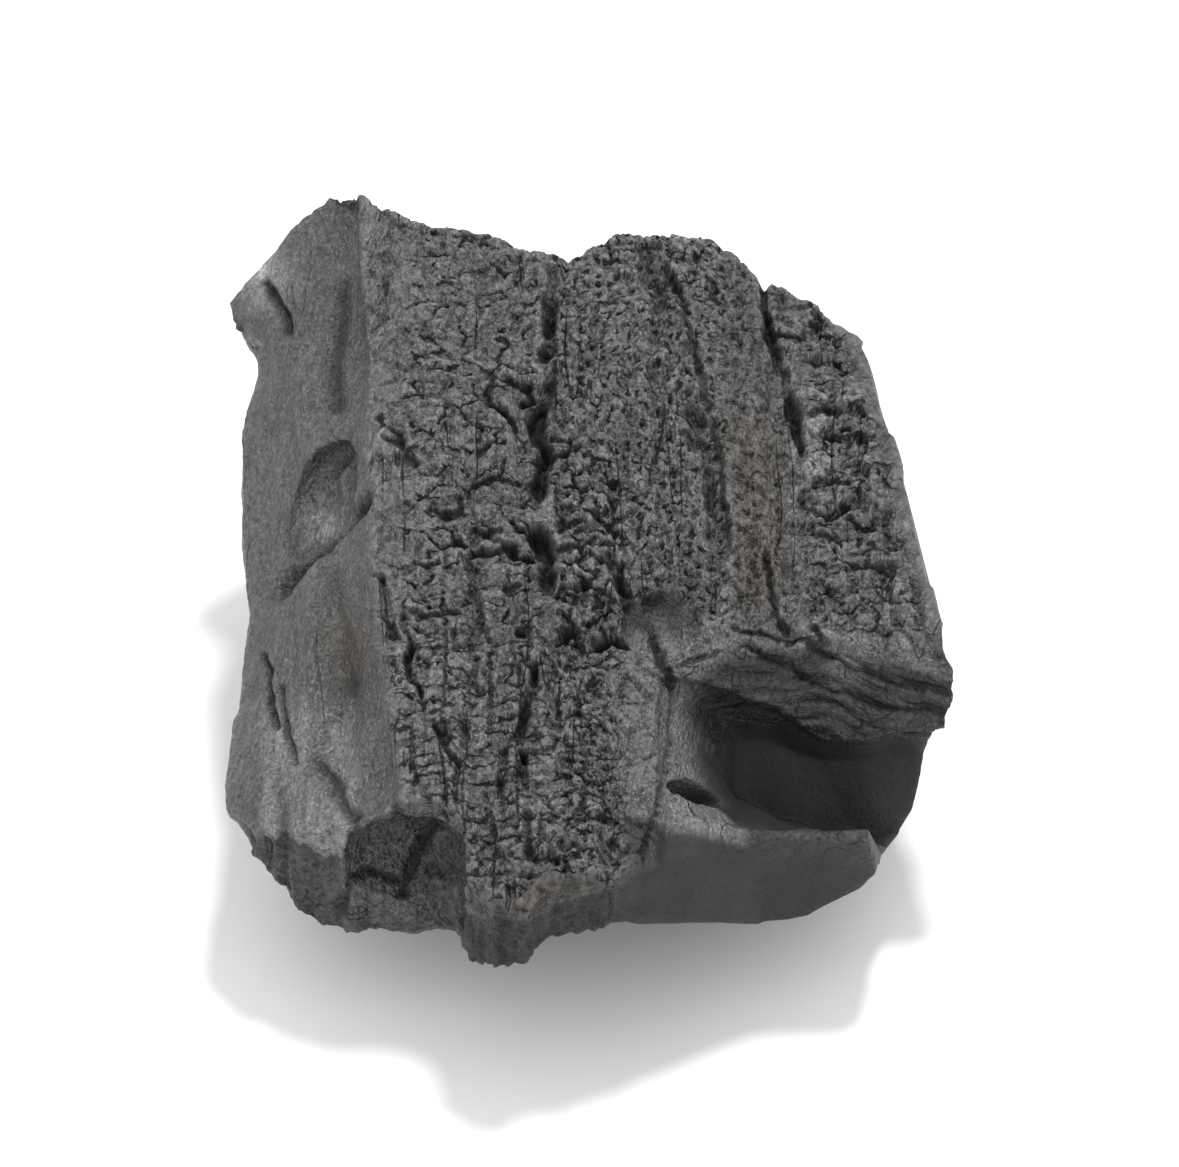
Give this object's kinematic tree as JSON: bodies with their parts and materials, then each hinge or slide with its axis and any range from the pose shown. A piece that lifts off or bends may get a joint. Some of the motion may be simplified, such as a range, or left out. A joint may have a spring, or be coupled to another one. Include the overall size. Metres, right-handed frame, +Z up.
{
  "type": "charcoal lump",
  "caption": "Lump of charcoal split from a log: cracked bark face on top, broken ends, and a hollow under a lip at one corner.",
  "frame": {"origin": "on the floor, under the middle of the lump's bounding box", "axes": "+Z up as the lump rests; +Y along the grain towards the high, broken back end; +X across the bark face"},
  "size_m": [0.1035, 0.1143, 0.0742],
  "materials": {
    "charcoal": "charred wood, matt black-grey with a dull sheen on the split faces"
  },
  "bodies": {
    "root": {"charcoal_lump": "charcoal"}
  },
  "joints": []
}
